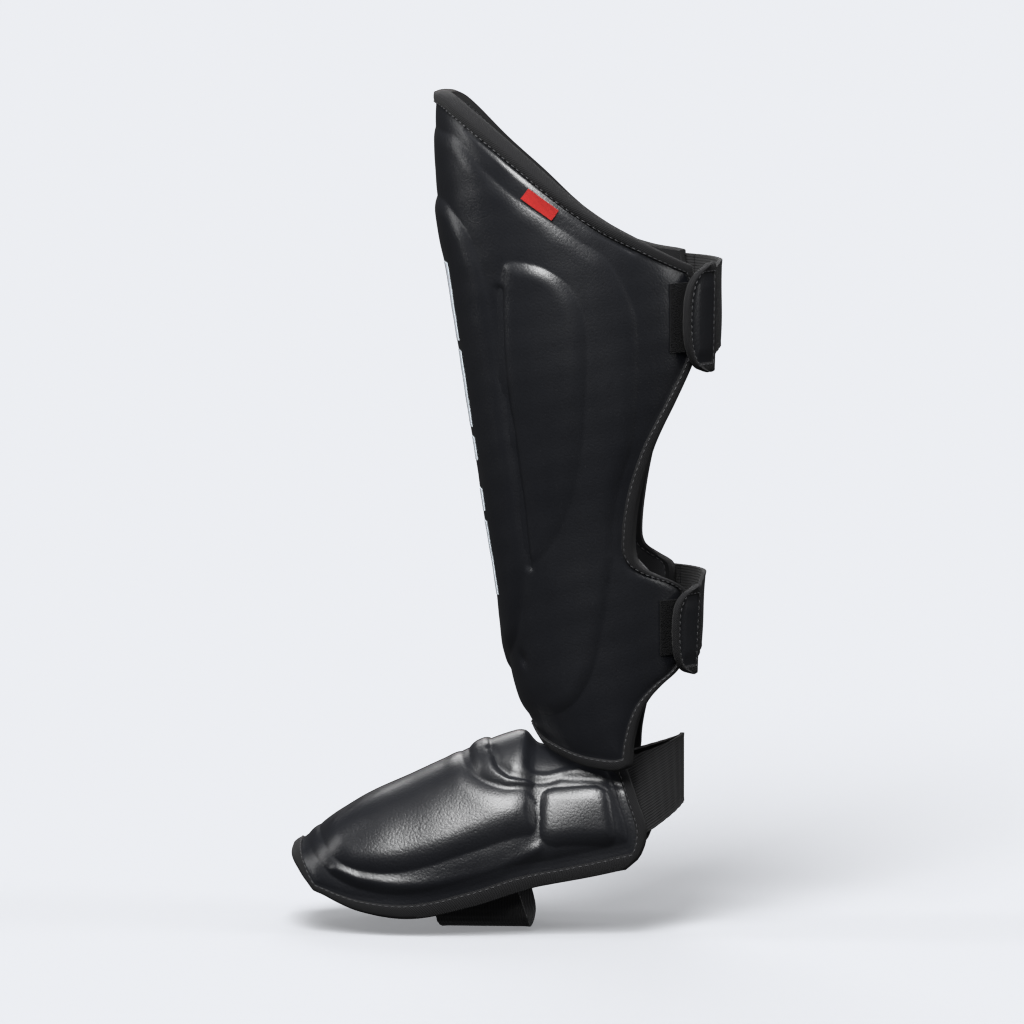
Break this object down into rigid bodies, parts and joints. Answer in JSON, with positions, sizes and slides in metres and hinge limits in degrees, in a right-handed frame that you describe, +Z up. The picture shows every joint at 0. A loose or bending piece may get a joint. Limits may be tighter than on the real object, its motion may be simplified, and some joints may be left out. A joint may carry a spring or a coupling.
{
  "type": "shin guard",
  "caption": "Padded combat-sports shin guard with a hinged padded foot shell, hook-and-loop calf straps, and elastic heel and sole straps.",
  "frame": {"origin": "inside the ankle on the mid-plane, where the wearer's ankle passes through the guard (mount leg_seat)", "axes": "+Z up the leg, -Y towards the toes, +X lateral, the side where the calf straps close"},
  "size_m": [0.1387, 0.2493, 0.4854],
  "materials": {
    "leather": "fine-grained synthetic leather, satin",
    "binding_tape": "woven polyester tape, matt",
    "lining_fabric": "brushed knit, matt",
    "foam": "closed-cell foam, matt",
    "elastic_webbing": "knitted elastic, matt",
    "thread": "twisted polyester thread",
    "hook_tape": "moulded hook fastener",
    "loop_tape": "napped loop fastener",
    "tag_red": "woven satin label, plain",
    "print_white": "screen-printed film"
  },
  "bodies": {
    "shin": {"shin_cover": "leather", "shin_dense_foam": "foam", "shin_soft_foam": "foam", "shin_lining": "lining_fabric", "centre_pad": "foam", "lateral_side_pad": "foam", "medial_side_pad": "foam", "shin_edge_binding": "binding_tape", "spine_stripes": "print_white", "edge_tag": "tag_red", "upper_root": "elastic_webbing", "upper_root_stitching": "thread", "upper_loop_patch": "loop_tape", "lower_root": "elastic_webbing", "lower_root_stitching": "thread", "lower_loop_patch": "loop_tape", "ankle_gusset": "lining_fabric"},
    "upper_band": {"upper_elastic": "elastic_webbing"},
    "upper_tab": {"upper_tab_face": "leather", "upper_tab_backing": "lining_fabric", "upper_hook_patch": "hook_tape", "upper_tab_binding": "binding_tape"},
    "lower_band": {"lower_elastic": "elastic_webbing"},
    "lower_tab": {"lower_tab_face": "leather", "lower_tab_backing": "lining_fabric", "lower_hook_patch": "hook_tape", "lower_tab_binding": "binding_tape"},
    "foot": {"foot_cover": "leather", "foot_foam": "foam", "foot_lining": "lining_fabric", "toe_pad": "foam", "instep_pad": "foam", "lateral_ankle_pad": "foam", "medial_ankle_pad": "foam", "foot_edge_binding": "binding_tape", "heel_elastic": "elastic_webbing", "sole_elastic": "elastic_webbing"}
  },
  "joints": [
    {"name": "ankle_flex", "type": "hinge", "parent": "shin", "child": "foot", "pos_m": [0, -0.002, 0.006], "axis": [1, 0, 0], "range_deg": [0, 20], "stiffness_Nm_per_rad": 1.2},
    {"name": "upper_strap_swing", "type": "hinge", "parent": "shin", "child": "upper_band", "pos_m": [-0.0403, 0.054, 0.265], "axis": [0, 0, 1], "range_deg": [0, 80]},
    {"name": "upper_tab_peel", "type": "hinge", "parent": "upper_band", "child": "upper_tab", "pos_m": [0.0223, 0.0689, 0.265], "axis": [0, 0, 1], "range_deg": [0, 60]},
    {"name": "lower_strap_swing", "type": "hinge", "parent": "shin", "child": "lower_band", "pos_m": [-0.0315, 0.0466, 0.082], "axis": [0, 0, 1], "range_deg": [0, 80]},
    {"name": "lower_tab_peel", "type": "hinge", "parent": "lower_band", "child": "lower_tab", "pos_m": [0.0171, 0.0596, 0.082], "axis": [0, 0, 1], "range_deg": [0, 60]}
  ]
}
